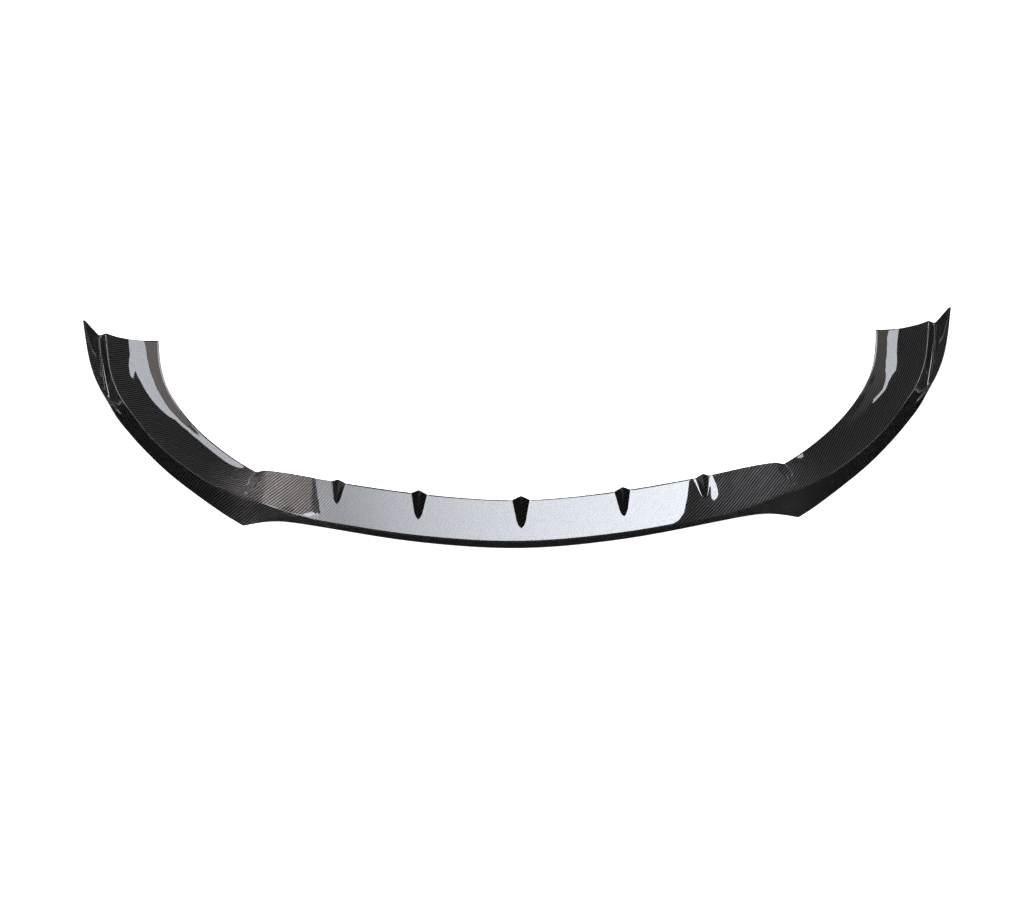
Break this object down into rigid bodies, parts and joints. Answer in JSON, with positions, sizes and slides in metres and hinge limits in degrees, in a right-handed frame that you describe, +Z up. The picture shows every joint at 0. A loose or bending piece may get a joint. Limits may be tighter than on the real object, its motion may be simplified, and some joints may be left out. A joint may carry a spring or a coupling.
{
  "type": "front splitter lip",
  "caption": "Wide shallow moulded lip that wraps the lower front edge of a car bumper, with a raised centre, hollow side wings, upturned winglets and small fins.",
  "frame": {"origin": "on the floor, under the middle of the part's bounding box", "axes": "+X to the right seen from the front, along the width; +Y to the rear of the car; +Z up; the front edge faces -Y"},
  "size_m": [1.8, 0.508, 0.103],
  "materials": {
    "carbon_shell": "dark twill weave under a clear gloss coat"
  },
  "bodies": {
    "root": {"splitter_lip": "carbon_shell"}
  },
  "joints": []
}
